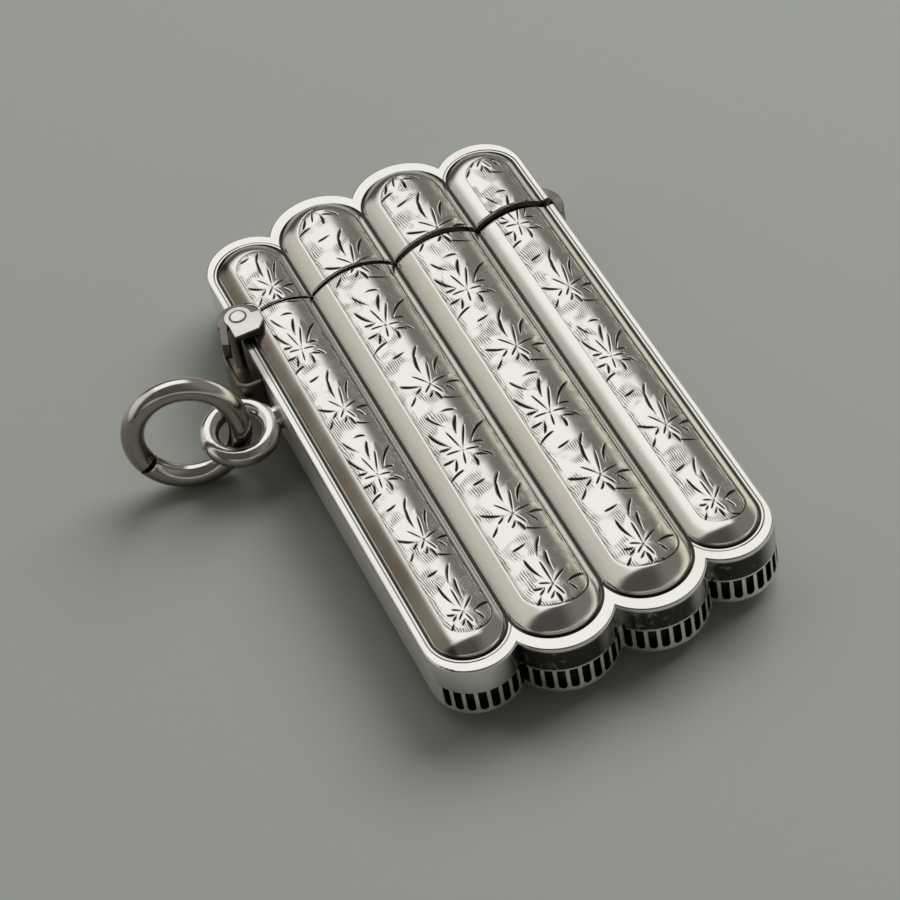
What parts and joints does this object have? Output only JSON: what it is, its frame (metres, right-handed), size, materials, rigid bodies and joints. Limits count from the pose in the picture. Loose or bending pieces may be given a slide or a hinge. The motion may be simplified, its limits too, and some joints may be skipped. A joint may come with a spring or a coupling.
{
  "type": "vesta case",
  "caption": "Silver vesta case with engraved domed lobes, a side-hinged lid, a striker in the base and a jump ring hanging in a side eye.",
  "frame": {"origin": "under the middle of the back, on the plane of its rubbed crests", "axes": "+X across the lobes away from the hinge, +Y from the base to the lid, +Z out of the front face"},
  "size_m": [0.037, 0.0487, 0.0093],
  "materials": {
    "sheet": "polished silver, engraved on the lobes",
    "fittings": "polished silver",
    "wire": "worn silver wire",
    "striker": "serrated, dark with tarnish",
    "spring": "spring steel"
  },
  "bodies": {
    "case": {"body_front_shell": "sheet", "body_back_shell": "sheet", "striker_plate": "striker", "mouth_collar": "fittings", "hinge_front_cheek": "fittings", "hinge_back_cheek": "fittings", "hinge_strap": "fittings", "hinge_pin": "fittings", "lid_spring": "spring", "suspension_eye": "wire"},
    "lid": {"lid_front_shell": "sheet", "lid_back_shell": "sheet", "lid_knuckle": "fittings", "thumb_piece": "fittings"},
    "ring": {"jump_ring": "wire"}
  },
  "joints": [
    {"name": "lid_hinge", "type": "hinge", "parent": "case", "child": "lid", "pos_m": [-0.01216, 0.0146, 0.00341], "axis": [0, 0, 1], "range_deg": [-1.2, 89]},
    {"name": "ring_swing", "type": "hinge", "parent": "case", "child": "ring", "pos_m": [-0.01557, 0.0069, 0.00341], "axis": [0, -0.1045, 0.9945], "range_deg": [-40, 4]}
  ]
}
